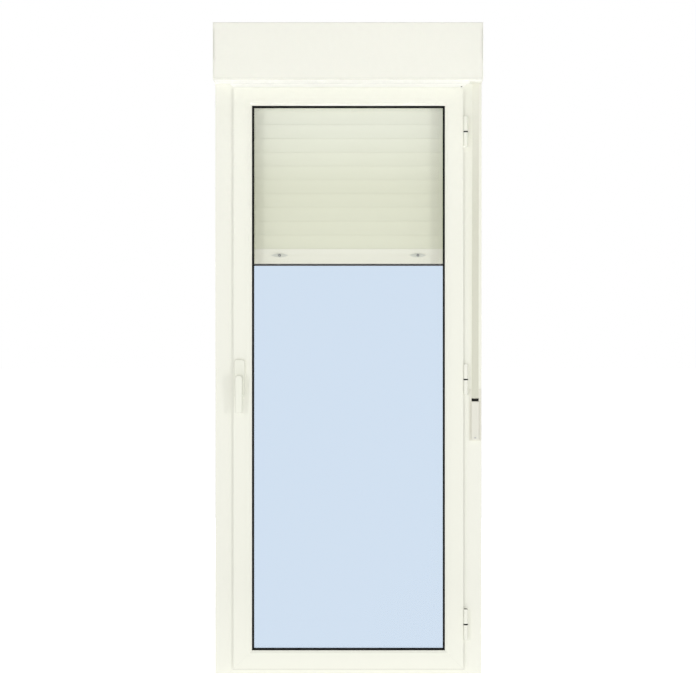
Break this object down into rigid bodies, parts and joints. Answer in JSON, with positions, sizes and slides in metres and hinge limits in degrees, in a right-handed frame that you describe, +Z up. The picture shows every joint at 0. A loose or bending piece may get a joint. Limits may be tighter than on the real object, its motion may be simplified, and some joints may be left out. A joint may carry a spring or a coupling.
{
  "type": "balcony door",
  "caption": "Inward-opening glazed aluminium balcony door with a roller shutter box on top, a slatted shutter hanging part-way down outside, a lever handle, side hinges and a strap winder.",
  "frame": {"origin": "middle of the sill's underside, in width and in depth", "axes": "+X to the right seen from indoors, +Y outdoors, +Z up; the leaf opens towards -Y"},
  "size_m": [0.9, 0.19, 2.185],
  "materials": {
    "lacquered_aluminium": "satin off-white powder coat",
    "box_plastic": "satin off-white",
    "winder_plastic": "satin off-white",
    "slat_plastic": "satin cream",
    "stop_plastic": "moulded off-white",
    "black_rubber": "matt black",
    "black_plastic": "matt black",
    "zinc_steel": "galvanised",
    "strap_webbing": "woven beige-grey webbing",
    "glass": "clear float glass",
    "brush_pile": "grey plush pile",
    "spacer_aluminium": "mill finish"
  },
  "bodies": {
    "frame": {"frame_left_jamb": "lacquered_aluminium", "frame_right_jamb": "lacquered_aluminium", "frame_head": "lacquered_aluminium", "frame_sill": "lacquered_aluminium", "left_side_post": "lacquered_aluminium", "right_side_post": "lacquered_aluminium", "left_shutter_guide": "lacquered_aluminium", "right_shutter_guide": "lacquered_aluminium", "guide_brushes": "brush_pile", "frame_gasket": "black_rubber", "box_front_lid": "box_plastic", "box_top_panel": "box_plastic", "box_back_panel": "box_plastic", "box_bottom_panel": "box_plastic", "box_left_cap": "box_plastic", "box_right_cap": "box_plastic", "shutter_axle": "zinc_steel", "shutter_roll": "slat_plastic", "shutter_slats": "slat_plastic", "shutter_bottom_bar": "lacquered_aluminium", "shutter_bottom_seal": "black_rubber", "shutter_stops": "stop_plastic", "strap_guide": "winder_plastic", "lifting_strap": "strap_webbing", "winder_plate": "winder_plastic", "winder_cover": "winder_plastic", "hinge_washers": "black_plastic", "bottom_hinge_frame_half": "lacquered_aluminium", "middle_hinge_frame_half": "lacquered_aluminium", "top_hinge_frame_half": "lacquered_aluminium"},
    "leaf": {"leaf_lock_stile": "lacquered_aluminium", "leaf_hinge_stile": "lacquered_aluminium", "leaf_top_rail": "lacquered_aluminium", "leaf_bottom_rail": "lacquered_aluminium", "glazing_bead_left": "lacquered_aluminium", "glazing_bead_right": "lacquered_aluminium", "glazing_bead_top": "lacquered_aluminium", "glazing_bead_bottom": "lacquered_aluminium", "leaf_gasket": "black_rubber", "inner_glass_gasket": "black_rubber", "outer_glass_gasket": "black_rubber", "inner_glass_pane": "glass", "outer_glass_pane": "glass", "glass_spacer": "spacer_aluminium", "handle_base": "lacquered_aluminium", "bottom_hinge_leaf_half": "lacquered_aluminium", "middle_hinge_leaf_half": "lacquered_aluminium", "top_hinge_leaf_half": "lacquered_aluminium"},
    "handle": {"handle_lever": "lacquered_aluminium"}
  },
  "joints": [
    {"name": "door_swing", "type": "hinge", "parent": "frame", "child": "leaf", "pos_m": [0.396, -0.038, 1], "axis": [0, 0, 1], "range_deg": [0, 100]},
    {"name": "handle_turn", "type": "hinge", "parent": "leaf", "child": "handle", "pos_m": [-0.367, -0.046, 0.998], "axis": [0, -1, 0], "range_deg": [0, 90]}
  ]
}
